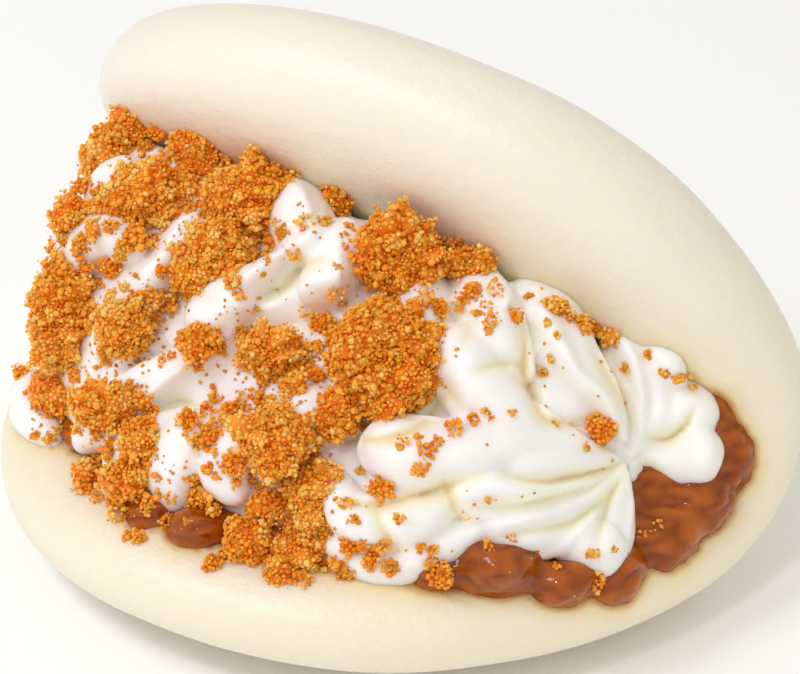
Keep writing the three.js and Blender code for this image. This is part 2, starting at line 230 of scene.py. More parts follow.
# %% [markdown]
# ## The camera
#
# The photograph looks down into the mouth from its right. The camera stands where the same outline
# is seen: its direction is given by two angles, and its lens by how many pixels of the photograph
# one millimetre of the bun covers. It is made early, because the places of everything that lies in
# the mouth are read along its lines of sight.

# %% Directions of the mouth, and the camera
MOUTH_AZIMUTH = 39.1
MOUTH_ELEVATION = 36.2
VIEWING_DISTANCE = 550
FACED_POINT = np.array([0.0, -25.0, 18.0])
MOUTH_MIDDLE = np.array([6.2, -16.5, 21.7])

azimuth = math.radians(MOUTH_AZIMUTH)
elevation = math.radians(MOUTH_ELEVATION)
OUT = np.array([math.sin(azimuth) * math.cos(elevation), -math.cos(azimuth) * math.cos(elevation),
                math.sin(elevation)])
ACROSS = np.array([math.cos(azimuth), math.sin(azimuth), 0.0])
UP = np.cross(OUT, ACROSS)
EYE = FACED_POINT + OUT * VIEWING_DISTANCE

PHOTO_WIDTH = 800
PIXELS_PER_MM = 8.1
SENSOR_WIDTH = 36
AIM_ACROSS = 13.7
AIM_UP = -1.15
FAR_CLIP = 10


def make_camera():
    data = bpy.data.cameras.new("camera")
    data.sensor_width = SENSOR_WIDTH
    data.lens = SENSOR_WIDTH * VIEWING_DISTANCE * PIXELS_PER_MM / PHOTO_WIDTH
    data.clip_end = FAR_CLIP
    camera = add_object("camera", data)
    aim = FACED_POINT + AIM_ACROSS * ACROSS + AIM_UP * UP
    camera.location = to_frame(EYE)
    direction = Vector(to_frame(aim)) - camera.location
    camera.rotation_euler = direction.to_track_quat("-Z", "Y").to_euler()
    bpy.context.scene.camera = camera
    return camera


camera = make_camera()
print("lens in mm:", round(camera.data.lens, 1))

# %% [markdown]
# ## Light and floor
#
# The photograph is a bright product shot: white all round, with a broad soft highlight on the upper
# lobe and shadows that are filled almost completely. A warm white world gives the fill. The soft key
# light, above and to the left, gives the highlight, a weak one brightens the right, and a small one
# makes the wet caramel sparkle. The floor is a plain white sheet.

# %% The studio, with sizes and places in metres
WORLD_STRENGTH = 0.68
WORLD_COLOUR = (1.0, 0.96, 0.88, 1)
MIDDLE_OF_BUN = (0, 0, 0.03)
# Each light's place, width, watts and colour
LIGHTS = {
    "soft_key": ((-0.25, -0.46, 0.76), 0.35, 2.2, (0.92, 1.0, 1.15)),
    "low_fill": ((0.5, -0.6, 0.4), 0.5, 0.15, (1.0, 0.98, 0.95)),
    "sparkle": ((0.12, -0.5, 0.78), 0.12, 1.15, (1.0, 1.0, 1.0)),
}
FLOOR_REACH = 3.0
FLOOR_LOOK = {"Base Color": (1.0, 1.0, 1.0, 1), "Roughness": 0.9, "Specular IOR Level": 0.1}


def set_values(node, values):
    for socket, value in values.items():
        node.inputs[socket].default_value = value


def make_floor():
    work = bmesh.new()
    bmesh.ops.create_grid(work, x_segments=1, y_segments=1, size=FLOOR_REACH)
    mesh = bpy.data.meshes.new("floor")
    work.to_mesh(mesh)
    work.free()
    floor = add_object("floor", mesh)
    material = bpy.data.materials.new("white_floor")
    material.use_nodes = True
    set_values(material.node_tree.nodes["Principled BSDF"], FLOOR_LOOK)
    mesh.materials.append(material)


def make_light(name, place, width, watts, colour):
    data = bpy.data.lights.new(name, "AREA")
    data.shape = "DISK"
    data.size = width
    data.energy = watts
    data.color = colour
    light = add_object(name, data)
    light.location = place
    light.rotation_euler = (Vector(MIDDLE_OF_BUN) - Vector(place)).to_track_quat("-Z", "Y").to_euler()


def make_world():
    world = bpy.data.worlds.new("white_room")
    world.use_nodes = True
    set_values(world.node_tree.nodes["Background"], {"Color": WORLD_COLOUR, "Strength": WORLD_STRENGTH})
    bpy.context.scene.world = world


make_floor()
make_world()
for light_name, light_values in LIGHTS.items():
    make_light(light_name, *light_values)
bpy.context.scene.view_settings.view_transform = "Standard"
print("lights:", ", ".join(LIGHTS))

# %% [markdown]
# ## Finishes
#
# All the food here lets light in, so each finish is a Principled shader with subsurface scattering.
# What differs is how deep the light goes, how wet the surface is, and what fine relief it has. The
# colour follows a tone from 0 to 1 that is stored on every point, and the relief is a noise that
# feeds a Bump node. A value that is the same everywhere is written straight on the shader.

# %% Helpers for finishes
def linear(red, green, blue):
    """A screen colour from 0 to 255 as the linear colour that shaders use"""
    channels = []
    for value in (red / 255, green / 255, blue / 255):
        channels.append(value / 12.92 if value <= 0.04045 else ((value + 0.055) / 1.055) ** 2.4)
    return (*channels, 1.0)


def add_colours(tree, stops):
    """Colours by tone: each stop is a position from 0 to 1 and a screen colour"""
    tone = tree.nodes.new("ShaderNodeAttribute")
    tone.attribute_name = "tone"
    ramp = tree.nodes.new("ShaderNodeValToRGB")
    elements = ramp.color_ramp.elements
    while len(elements) < len(stops):
        elements.new(0.5)
    for element, (position, colour) in zip(elements, stops):
        element.position = position
        element.color = linear(*colour)
    tree.links.new(tone.outputs["Fac"], ramp.inputs["Fac"])
    return ramp.outputs["Color"]


def new_finish(name, stops, roughness, specular, light_depth):
    """`light_depth`: how much light enters, how far red, green and blue go, and its scale in metres"""
    material = bpy.data.materials.new(name)
    material.use_nodes = True
    tree = material.node_tree
    shader = tree.nodes["Principled BSDF"]
    weight, radius, scale = light_depth
    set_values(shader, {"Roughness": roughness, "Specular IOR Level": specular, "Subsurface Weight": weight,
                        "Subsurface Radius": radius, "Subsurface Scale": scale})
    tree.links.new(add_colours(tree, stops), shader.inputs["Base Color"])
    return material, tree, shader


def add_bump(tree, scale, detail, roughness, distance, strength, before=None):
    """Relief from a noise with `scale` waves in a metre that are `distance` metres high"""
    place = tree.nodes.get("place") or tree.nodes.new("ShaderNodeTexCoord")
    place.name = "place"
    texture = tree.nodes.new("ShaderNodeTexNoise")
    set_values(texture, {"Scale": scale, "Detail": detail, "Roughness": roughness})
    tree.links.new(place.outputs["Object"], texture.inputs["Vector"])
    bump = tree.nodes.new("ShaderNodeBump")
    set_values(bump, {"Distance": distance, "Strength": strength})
    tree.links.new(texture.outputs["Fac"], bump.inputs["Height"])
    if before is not None:
        tree.links.new(before, bump.inputs["Normal"])
    return bump.outputs["Normal"]


print("half of full brightness on a screen is", round(linear(128, 128, 128)[0], 3), "in a shader")

# %% [markdown]
# ### Steamed dough
#
# Steamed dough has a thin satin skin over a white crumb. Light goes a few millimetres in and comes
# out warm, so it looks cream in the light and ochre in the folds. The skin is almost smooth: very
# shallow wrinkles one or two millimetres apart, and finer pores, which only break up the highlight.

# %% The dough's finish
def dough_finish():
    # Tone 0 is the dough's own colour, the middle stop is the warm painted shade near the cream and on the
    # lower lobe, and tone 1 is the brown where caramel soaks in.
    stops = [(0.0, (245, 237, 222)), (0.45, (246, 227, 180)), (1.0, (214, 146, 58))]
    material, tree, shader = new_finish("steamed_dough", stops, roughness=0.38, specular=0.6,
                                        light_depth=(0.6, (1.0, 0.8, 0.45), 0.004))
    wrinkles = add_bump(tree, scale=600, detail=4, roughness=0.65, distance=0.0004, strength=0.7)
    pores = add_bump(tree, scale=2200, detail=2, roughness=0.5, distance=0.0001, strength=0.5,
                     before=wrinkles)
    tree.links.new(pores, shader.inputs["Normal"])
    return material


# %% [markdown]
# ### The bun
#
# The bun is the folded form again, now on a fine grid. Real dough is never quite even, so a slow wave
# of noise and a finer one swell and dip its skin by a fraction of a millimetre. Each point moves along
# its normal, and what would sink below the rest level is set back on it.

# %% Making the bun
SLOW_WAVE = 26.0
SLOW_SWELL = 0.35
FINE_WAVE = 8.0
FINE_SWELL = 0.1
SKIN_SINK = 0.12


def waves(points, size):
    """A noise at each point, from -1 to 1, whose waves are about as long as `size`"""
    return np.array([noise.noise(Vector(point / size)) for point in points])


def piece_points(piece):
    """A piece's points in the form's millimetres, and its normals"""
    mesh = piece.data
    points = np.empty(len(mesh.vertices) * 3)
    mesh.vertices.foreach_get("co", points)
    normals = np.empty(len(mesh.vertices) * 3)
    mesh.vertices.foreach_get("normal", normals)
    return points.reshape(-1, 3) / MILLIMETRE - SHIFT, normals.reshape(-1, 3)


def set_points(piece, points):
    piece.data.vertices.foreach_set("co", to_frame(points).ravel())
    piece.data.update()


def make_bun():
    points, faces = bun_points(columns=220, rows=150)
    bun = make_piece("steamed_bun", points, faces)
    face_outwards(bun)
    _, normals = piece_points(bun)
    swell = SLOW_SWELL * waves(points, SLOW_WAVE) + FINE_SWELL * waves(points, FINE_WAVE)
    moved = points + normals * (swell - SKIN_SINK)[:, None]
    moved[:, 2] = np.maximum(moved[:, 2], REST_LEVEL)
    set_points(bun, moved)
    return bun


bun = make_bun()
finish_piece(bun, "dough", dough_finish(), "bun")

# %% [markdown]
# ## Where things land
#
# A place in the mouth is read from the photograph as two numbers, across and up, in millimetres on a
# plane through the middle of the mouth. A line of sight through it is followed until it meets a
# surface, and there the thing lies. So it lies on what carries it, from every side. A line that
# misses keeps the distance of the one before.

# %% Following lines of sight
def tree_of(points, faces):
    return BVHTree.FromPolygons([Vector(p) for p in points], faces)


def look_through(place, trees):
    """The line of sight through a place, and how far along it each surface is met"""
    aim = MOUTH_MIDDLE + place[0] * ACROSS + place[1] * UP
    sight = (aim - EYE) / np.linalg.norm(aim - EYE)
    hits = [tree.ray_cast(Vector(EYE), Vector(sight))[3] for tree in trees]
    return sight, [math.inf if hit is None else hit for hit in hits]


def land_all(trees, places):
    distance = VIEWING_DISTANCE
    landed = []
    for place in places:
        sight, hits = look_through(place, trees)
        distance = min(hits) if min(hits) < math.inf else distance
        landed.append(EYE + sight * distance)
    return np.array(landed)


# %% [markdown]
# ## Heaps in the mouth
#
# The caramel and the cream are heaps: one side follows the inside of the dough, the other is a front
# that stands out a little from the straight line between its two edges. Both are rules on the same
# globe grid, with other limits.

# %% The form of a heap
HEAP_CLEARANCE = 0.6
CLOSING_POWER = 6
CARAMEL_HEAP = {"left": -0.86, "right": 0.95, "lower": 0.87, "upper": 0.2,
                "lean": 0, "bulge": 3, "spread": 0.02}
CREAM_HEAP = {"left": -0.98, "right": 0.82, "lower": 0.82, "upper": 0.67,
              "lean": 0.2, "bulge": 5, "spread": 0.1}


def heap_points(heap, columns, rows):
    around, down, faces = globe(columns, rows)
    middle = (heap["left"] + heap["right"]) / 2
    half_span = (heap["right"] - heap["left"]) / 2
    share = -np.cos(np.pi * down)
    closing = np.sqrt(np.maximum(0, 1 - share**CLOSING_POWER))
    along = middle + half_span * share
    width = oval_width(along) * closing
    lower = -heap["lower"] * width
    upper = (heap["upper"] - heap["lean"] * along) * width

    def on_dough(over):
        return dough_point(along, over, dough_depth(along, over, False) - HEAP_CLEARANCE)

    back = on_dough(lower + (upper - lower) * np.clip(2 * around, 0, 1))
    top = on_dough(upper)
    bottom = on_dough(lower)
    chord = bottom - top
    outward = np.stack([np.zeros(len(chord)), chord[:, 2], -chord[:, 1]], axis=1)
    outward /= np.maximum(np.linalg.norm(outward, axis=1), 1e-6)[:, None]
    front = np.clip(2 * around - 1, 0, 1)
    swell = closing * np.sqrt(np.sin(np.pi * front))
    face = top + chord * front[:, None] + outward * (heap["bulge"] * swell)[:, None]
    face[:, 0] *= 1 + heap["spread"] * swell
    points = np.where((around < 0.5)[:, None], back, face)
    for pole in (0, -1):
        points[pole] = dough_point(along[pole], 0.0, dough_depth(along[pole], 0.0, False))
    return points, faces


bun_tree = tree_of(*bun_points(columns=144, rows=96))
caramel_heap = heap_points(CARAMEL_HEAP, columns=120, rows=80)
cream_heap = heap_points(CREAM_HEAP, columns=120, rows=80)
caramel_tree = tree_of(*caramel_heap)
cream_heap_tree = tree_of(*cream_heap)
print("heaps made, with", len(cream_heap[0]), "points each")

# %% [markdown]
# ### One skin from many bodies
#
# Piped ridges and chunks of fruit run into each other. Making them as separate closed bodies is easy,
# and a voxel remesh then fuses all of them into one skin. A few rounds of smoothing melt the steps
# of the voxels and soften the creases, as surface tension does in cream or caramel.

# %% Fusing bodies
def fuse(name, bodies, voxel, rounds):
    points = np.vstack([body_points for body_points, _ in bodies])
    faces = []
    start = 0
    for body_points, body_faces in bodies:
        faces += [tuple(start + i for i in face) for face in body_faces]
        start += len(body_points)
    rough_piece = make_piece(name, points, faces)
    remesh = rough_piece.modifiers.new("one skin", "REMESH")
    remesh.mode = "VOXEL"
    remesh.voxel_size = voxel * MILLIMETRE
    soften = rough_piece.modifiers.new("soften", "SMOOTH")
    soften.factor = 0.5
    soften.iterations = rounds
    return apply_modifiers(rough_piece)


def apply_modifiers(piece):
    name = piece.name
    depsgraph = bpy.context.evaluated_depsgraph_get()
    mesh = bpy.data.meshes.new_from_object(piece.evaluated_get(depsgraph))
    bpy.data.objects.remove(piece)
    mesh.name = name
    mesh.shade_smooth()
    return add_object(name, mesh)


def store_tone(piece, tones):
    """A value from 0 to 1 on every point, which a finish can read"""
    attribute = piece.data.attributes.new("tone", "FLOAT", "POINT")
    attribute.data.foreach_set("value", np.asarray(tones, dtype=np.float32))


def tree_of_piece(piece):
    points, _ = piece_points(piece)
    return tree_of(points, [tuple(face.vertices) for face in piece.data.polygons])


# %% [markdown]
# ## Whipped cream
#
# The cream was piped with a star nozzle, which leaves rounded ridges with a crest, and where the
# nozzle is pulled away all ridges run together in a tail. Each ridge is a line on the heap, and round
# the line goes a section like a soft pointed arch. The lines are those of the solid, with one more
# that closes a gap beside the tail. A line that begins under the lip of the upper lobe starts some
# millimetres deeper, so that the lip lies over it.

# %% The ridges, in millimetres
# Half width, how far it stands proud, whether it ends in a tail, how deep its start is tucked in, and
# its line as places across and up
CREAM_RIDGES = [
    # The rosette at the right, whose ridges run together in one tail
    (5.6, 1.6, True, 6.0, [(18.6, 0.2), (23.6, -7.4), (28.6, -13.6), (31.6, -20.6)]),
    (4.2, 0.8, True, 6.0, [(28.6, -5.0), (33.8, -10.0), (35.4, -15.4), (32.2, -20.8)]),
    (4.6, 1.0, True, 0, [(41.0, -13.0), (37.6, -16.4), (32.6, -20.8)]),
    (5.2, 1.4, True, 0, [(42.0, -20.6), (37.6, -21.2), (32.8, -21.4)]),
    (4.2, -1.2, True, 0, [(36.6, -26.0), (34.6, -24.2), (32.4, -21.8)]),
    (5.4, 1.6, True, 0, [(24.0, -34.6), (28.0, -30.4), (31.6, -22.4)]),
    (4.8, 1.4, True, 0, [(13.0, -28.8), (19.4, -29.6), (25.6, -27.0), (31.0, -22.0)]),
    (4.6, 1.2, True, 0, [(6.8, -22.8), (14.8, -25.0), (23.4, -24.4), (30.6, -21.6)]),
    (5.2, 1.6, True, 0, [(-1.6, -17.6), (6.0, -20.6), (14.6, -19.6), (23.4, -19.0), (30.4, -21.0)]),
    (5.2, 1.0, True, 0, [(9.4, -4.6), (13.4, -13.0), (19.6, -17.0), (29.4, -20.4)]),
    (4.0, 1.2, True, 0, [(14.0, -21.8), (21.0, -21.6), (27.0, -21.4), (31.4, -21.4)]),
    # The folds that run down from under the upper lobe
    (5.0, 0.8, False, 6.0, [(12.0, 3.6), (14.6, -4.6), (19.4, -12.0)]),
    (4.6, 0.4, False, 6.0, [(4.0, 6.0), (6.0, -2.0), (8.4, -10.0)]),
    (4.6, 0.8, False, 6.0, [(-9.6, 14.0), (-8.4, 8.0), (-4.0, 2.0)]),
    (4.4, 1.4, False, 0, [(-8.6, -1.4), (-3.6, 3.6), (-2.6, 8.6)]),
    (2.6, 0.4, False, 6.0, [(33.6, -7.2), (36.6, -9.8), (38.4, -12.2)]),
    # The rims of the rope that was piped along the lower lobe
    (4.2, 1.6, False, 0, [(-5.2, -22.4), (-3.0, -27.0), (3.6, -28.4), (10.0, -26.4)]),
    (3.8, 1.0, False, 0, [(-6.4, -30.6), (0.0, -33.4), (8.6, -31.4), (14.6, -29.4)]),
    (4.4, 0.8, False, 0, [(-14.0, -22.0), (-9.0, -16.0), (-3.0, -14.0)]),
    # The sharp ridges and the rolled end at the left
    (3.4, 1.6, True, 0, [(-34.0, -7.6), (-27.6, 0.2), (-19.4, 10.6)]),
    (3.8, 1.8, True, 0, [(-36.0, -18.6), (-30.0, -12.4), (-23.2, -7.4), (-16.4, -3.6)]),
    (3.8, 1.6, True, 0, [(-22.4, -5.6), (-15.0, 1.4), (-8.6, 6.4)]),
    (4.4, 1.4, False, 0, [(-23.6, -26.8), (-24.4, -22.4), (-22.6, -18.0), (-17.6, -15.6)]),
    (3.8, 1.2, False, 0, [(-16.4, -26.0), (-18.2, -21.0), (-13.8, -16.0)]),
    (3.8, 0.2, False, 0, [(-39.0, -18.4), (-41.6, -13.6), (-41.8, -8.6)]),
    (3.8, 1.2, True, 0, [(-31.6, -22.4), (-27.6, -17.4), (-19.4, -13.4)]),
    (4.6, 0.4, False, 0, [(-27.6, 5.2), (-33.0, 7.6), (-36.6, 1.4)]),
    (4.0, 0.2, False, 0, [(-29.0, 17.0), (-31.6, 12.6), (-33.4, 8.0)]),
]
TUCKED_SHARE = 0.5
CREST_SHARE = 0.12
CREST_ANGLE = 0.45


# %% A smooth line through points, and a ridge along it
LINE_STEPS = 40


def smooth_line(knots, count):
    """Evenly spaced points on a smooth line through the knots, and its directions"""
    knots = np.asarray(knots)
    padded = np.vstack([2 * knots[0] - knots[1], knots, 2 * knots[-1] - knots[-2]])
    share = np.linspace(0, 1, LINE_STEPS, endpoint=False)[:, None]
    stretches = []
    for before, start, end, after in zip(padded, padded[1:], padded[2:], padded[3:]):
        gaps = (start - before, end - start, after - end)
        first, middle, last = (np.linalg.norm(gap) ** 0.5 for gap in gaps)
        leaving = (start - before) / first - (end - before) / (first + middle) + (end - start) / middle
        arriving = (end - start) / middle - (after - start) / (middle + last) + (after - end) / last
        leaving, arriving = leaving * middle, arriving * middle
        bend = -3 * start + 3 * end - 2 * leaving - arriving
        twist = 2 * start - 2 * end + leaving + arriving
        stretches.append(start + leaving * share + bend * share**2 + twist * share**3)
    dense = np.vstack([*stretches, knots[-1:]])
    lengths = np.concatenate([[0], np.cumsum(np.linalg.norm(np.diff(dense, axis=0), axis=1))])
    wanted = np.linspace(0, lengths[-1], count)
    line = np.stack([np.interp(wanted, lengths, dense[:, k]) for k in range(3)], axis=1)
    directions = np.gradient(line, axis=0)
    return line, directions / np.linalg.norm(directions, axis=1)[:, None]


def ridge_body(half, proud, tail, tuck, path):
    columns = 40
    rows = 64
    landed = land_all([cream_heap_tree, bun_tree], path) + proud * OUT
    tucked = np.clip(1 - np.linspace(0, 1, len(path)) / TUCKED_SHARE, 0, 1)
    landed = landed - tuck * tucked[:, None] * OUT
    line, directions = smooth_line(landed, rows + 1)
    around, down, faces = globe(columns, rows)
    row = np.rint(down * rows).astype(int)
    if tail:
        profile = np.sin(np.pi * np.sqrt(down))
    else:
        profile = np.sqrt(np.clip(np.sin(np.pi * down), 0, 1))
    sideways = np.cross(directions[row], OUT)
    sideways /= np.linalg.norm(sideways, axis=1)[:, None]
    top = np.cross(sideways, directions[row])
    turn = 2 * np.pi * around
    from_crest = np.minimum(turn, 2 * np.pi - turn)
    arch = 1 - CREST_SHARE + CREST_SHARE * np.exp(-((from_crest / CREST_ANGLE) ** 2))
    radius = (half * profile * arch)[:, None]
    points = line[row] - sideways * radius * np.sin(turn)[:, None] + top * radius * np.cos(turn)[:, None]
    return points, faces


# %% [markdown]
# ### Crests and creases
#
# The nozzle's teeth leave sharp crests, and where two ridges meet there is a narrow crease. Both are
# put on the fused skin as relief: each point is moved towards the viewer by how near it lies to a
# line, as seen in the mouth. A crest has a steep side and a gentle one. The depth of the creases is
# kept on the mesh, because the finish paints them pale yellow, a painted shade.

# %% The crests and creases, in millimetres
# Height, width to the left of the line and to its right, and the line as places across and up
CRESTS = [
    (2.5, 0.7, 2.2, [(-31.6, 1.0), (-28.2, 3.1), (-25.8, 5.5), (-23.1, 9.1), (-20.1, 11.0)]),
    (2.2, 0.6, 2.0, [(-34.4, -10.9), (-30.8, -7.8), (-26.6, -5.2)]),
    (2.2, 0.7, 1.8, [(-29.1, -14.1), (-26.4, -11.2), (-23.0, -9.1), (-19.4, -7.4), (-16.4, -3.9)]),
    (2.4, 0.8, 1.8, [(-17.4, 1.0), (-12.6, 4.1), (-8.9, 6.4), (-5.6, 7.9)]),
    (1.7, 1.0, 1.6, [(-17.4, -1.5), (-12.6, -1.5), (-8.6, 0.9), (-4.6, 1.9)]),
    (2.0, 0.6, 1.2, [(-8.9, 13.6), (-7.8, 11.4), (-6.9, 8.1)]),
    (1.6, 0.6, 1.4, [(-4.0, 6.9), (-3.8, 3.2), (-4.0, -0.9)]),
    (2.0, 0.6, 1.4, [(15.9, 3.6), (17.1, 0.8), (16.9, -2.6)]),
    (2.5, 0.6, 2.0, [(18.6, -2.8), (20.6, -2.5), (22.5, -4.4), (24.0, -7.5), (25.9, -10.9), (28.9, -13.4),
                     (30.9, -16.8)]),
    (2.0, 0.6, 1.5, [(29.9, -5.5), (31.8, -7.4), (32.9, -10.5), (33.4, -13.9), (33.1, -18.4),
                     (32.1, -20.9)]),
    (1.6, 0.8, 1.4, [(9.5, -25.4), (13.6, -23.6), (18.6, -24.8), (24.2, -24.6), (28.6, -23.4),
                     (31.4, -21.9)]),
    (1.6, 0.7, 1.3, [(12.4, -29.4), (17.6, -28.5), (23.6, -27.0), (28.4, -24.9), (31.4, -22.2)]),
    (1.6, 0.7, 1.3, [(21.8, -33.9), (24.9, -30.2), (28.4, -27.0), (31.5, -22.6)]),
    (1.3, 0.6, 1.2, [(30.9, -31.9), (31.9, -28.0), (32.1, -23.0)]),
]
CREASES = [
    (-1.7, 0.7, 0.9, [(-13.5, -0.2), (-11.0, 0.6), (-8.4, 3.1), (-5.1, 4.1)]),
    (-1.5, 0.7, 0.7, [(-26.0, -13.9), (-23.9, -13.1), (-21.8, -14.1), (-20.6, -16.9)]),
    (-2.0, 0.8, 0.7, [(-3.4, -18.1), (1.1, -18.4), (4.2, -17.8), (6.8, -16.1), (8.6, -13.4)]),
    (-1.8, 0.8, 0.8, [(-3.9, -26.1), (1.1, -26.5), (6.1, -25.2), (9.9, -24.1), (13.9, -23.1)]),
    (-1.4, 0.9, 0.9, [(0.1, -26.5), (1.2, -29.9), (3.1, -32.6)]),
    (-2.1, 0.8, 0.7, [(18.5, -3.1), (19.0, -6.8), (18.8, -10.5), (19.9, -13.6), (21.2, -16.2),
                      (23.6, -17.1), (26.9, -17.1)]),
    (-1.3, 0.9, 0.9, [(12.9, -10.1), (15.9, -9.4), (18.5, -9.5)]),
    (-1.0, 0.8, 0.8, [(11.9, -2.4), (12.1, -4.9), (11.4, -6.8)]),
    (-1.5, 0.9, 0.9, [(7.6, -10.5), (9.2, -11.9), (10.6, -14.4)]),
    (-1.8, 0.6, 0.6, [(16.1, -23.0), (18.6, -23.8), (21.5, -24.1), (24.9, -23.4), (28.6, -22.4),
                      (31.2, -21.5)]),
    (-1.5, 0.8, 0.8, [(8.6, -23.9), (9.8, -26.8), (11.2, -28.8)]),
    (-1.3, 0.7, 0.7, [(12.4, -27.1), (16.1, -26.9), (21.1, -26.1), (26.1, -24.8), (29.2, -23.2)]),
    (-1.3, 0.7, 0.7, [(16.1, -30.6), (19.9, -29.9), (24.2, -29.0), (27.4, -26.9), (29.4, -24.8)]),
    (-1.4, 0.7, 0.7, [(27.6, -31.8), (28.4, -27.6), (29.6, -24.9), (31.2, -22.6)]),
    (-1.8, 0.7, 0.7, [(39.9, -15.4), (38.6, -17.5), (36.4, -19.0), (33.9, -18.8)]),
    (-1.4, 0.8, 0.8, [(32.9, -20.8), (34.8, -22.9), (36.1, -26.0)]),
    (-1.0, 0.5, 0.5, [(26.9, -18.8), (28.6, -20.1), (29.8, -20.6)]),
    (-1.5, 0.9, 0.9, [(27.4, -7.4), (29.1, -10.9), (30.9, -14.2), (31.9, -17.6)]),
    (-1.0, 0.9, 0.9, [(-12.9, -4.9), (-8.9, -3.9), (-5.1, -3.4)]),
    (-0.7, 0.9, 0.9, [(-25.1, -1.1), (-21.4, -0.1), (-18.6, -1.1)]),
]
FOLD_REACH = 6
FOLD_SHARPNESS = 1.5
END_STEPS = 2


# %% Relief from lines
def seen_places(points):
    """Where points appear in the mouth: across and up, on the plane through its middle"""
    sight = points - EYE
    reach = (MOUTH_MIDDLE - EYE) @ OUT / (sight @ OUT)
    on_plane = EYE + sight * reach[:, None] - MOUTH_MIDDLE
    return np.stack([on_plane @ ACROSS, on_plane @ UP], axis=1)


def fold_relief(places, height, left, right, path):
    """How far each place is raised by one crest or sunk by one crease"""
    line, directions = smooth_line([(across, up, 0.0) for across, up in path], LINE_STEPS)
    low = line[:, :2].min(axis=0) - FOLD_REACH
    high = line[:, :2].max(axis=0) + FOLD_REACH
    near = np.all((places > low) & (places < high), axis=1)
    offset = places[near][:, None, :] - line[None, :, :2]
    distance = np.linalg.norm(offset, axis=2)
    nearest = distance.argmin(axis=1)
    rows = np.arange(len(nearest))
    away = offset[rows, nearest]
    ahead = directions[nearest, :2]
    leftward = ahead[:, 0] * away[:, 1] - ahead[:, 1] * away[:, 0]
    width = np.where(leftward > 0, left, right)
    share = (nearest + END_STEPS) / (LINE_STEPS - 1 + 2 * END_STEPS)
    ends = np.sqrt(np.sin(np.pi * np.clip(share, 0, 1)))
    relief = np.zeros(len(places))
    relief[near] = height * ends * np.exp(-(distance[rows, nearest] / width) ** FOLD_SHARPNESS)
    return relief


# %% [markdown]
# ### The cream's finish
#
# Whipped cream is white and airy. Light goes deep into it, so its shadows stay bright. The narrow
# creases are painted pale yellow, a painted shade. Its skin is dull and satin, with very fine pits
# left by bubbles.

# %% The cream's finish
def cream_finish():
    # Tone 0 is the cream's own white; higher tones are the painted shade in the creases.
    stops = [(0.0, (253, 251, 246)), (0.4, (252, 246, 228)), (1.0, (247, 226, 178))]
    material, tree, shader = new_finish("whipped_cream", stops, roughness=0.42, specular=0.4,
                                        light_depth=(0.7, (1.0, 0.8, 0.5), 0.002))
    drag = add_bump(tree, scale=700, detail=3, roughness=0.55, distance=0.00008, strength=0.5)
    pits = add_bump(tree, scale=3200, detail=2, roughness=0.5, distance=0.00003, strength=0.5, before=drag)
    tree.links.new(pits, shader.inputs["Normal"])
    return material


# %% Making the cream
SLUMP_WAVE = 7
SLUMP_HEIGHT = 0.35
RIPPLE_WAVE = 2.5
RIPPLE_HEIGHT = 0.12
SIDE_WAVE = 9
SIDE_HEIGHT = 1.4
SIDE_SINK = 0.3
FACING_LIMIT = 0.3
CREASE_OF_FULL_SHADE = 1.9


def make_cream():
    """Fused ridges that slump a little. Only what faces the viewer has folds, the sides are plain."""
    bodies = [cream_heap] + [ridge_body(*ridge) for ridge in CREAM_RIDGES]
    cream = fuse("piped_cream", bodies, voxel=0.48, rounds=4)
    points, normals = piece_points(cream)
    slump = SLUMP_HEIGHT * waves(points, SLUMP_WAVE) + RIPPLE_HEIGHT * waves(points, RIPPLE_WAVE)
    facing = np.clip(normals @ OUT / FACING_LIMIT, 0, 1)
    slump += (1 - facing) * (SIDE_HEIGHT * np.abs(waves(points, SIDE_WAVE)) - SIDE_SINK)
    places = seen_places(points)
    reliefs = [fold_relief(places, *fold) * facing for fold in CRESTS + CREASES]
    set_points(cream, points + normals * slump[:, None] + OUT * np.sum(reliefs, axis=0)[:, None])
    soften = cream.modifiers.new("soften", "SMOOTH")
    soften.iterations = 1
    # Painted shade: the deeper a crease, the more yellow the finish paints it.
    crease_shade_depth = -np.minimum(reliefs, 0).sum(axis=0)
    store_tone(cream, np.clip(crease_shade_depth / CREASE_OF_FULL_SHADE, 0, 1))
    return apply_modifiers(cream)


cream = make_cream()
finish_piece(cream, "cream", cream_finish(), "whipped_cream")
cream_tree = tree_of_piece(cream)

# %% [markdown]
# ## Fruit in caramel
#
# Under the cream lies fruit that was cooked in caramel: soft slices, torn edges, all under one wet
# coat. The lumps at the edge are balls with a slow wave and a fine roughness on them, landed on the
# heap or the dough. After fusing, a noise that is stretched like the slices wrinkles the skin, and
# the hollows of the wrinkles are painted darker, a painted shade.

# %% The lumps, in millimetres: their places across and up, half sizes and how far they stand proud
CARAMEL_LUMPS = [
    ((14.6, -34.0), (6.8, 4.4), 2.4),
    ((7.4, -34.6), (3.4, 2.6), 1.6),
    ((22.6, -36.4), (5.0, 3.2), 2.0),
    ((28.8, -35.4), (4.6, 4.4), 2.4),
    ((34.6, -31.2), (5.6, 5.2), 2.4),
    ((39.6, -26.6), (4.8, 5.2), 2.2),
    ((43.0, -20.8), (4.4, 6.0), 2.0),
    ((42.0, -15.0), (3.2, 4.0), 1.4),
    ((-27.4, -27.0), (3.8, 4.0), 2.2),
    ((-21.6, -28.8), (4.4, 2.8), 1.8),
]
LUMP_ROUGHNESS = 0.07
LUMP_SEED = 11
SLOW_WAVES = (3.1, 2.7)
FINE_WAVES = (7.3, 8.1, 6.7)


def three_phases(seed):
    """The same seeded draws that shaped the solid's lumps"""
    factor = 1664525
    step = 1013904223
    limit = 2**32
    phases = []
    for _ in range(3):
        seed = (seed * factor + step) % limit
        phases.append(2 * math.pi * seed / limit)
    return phases


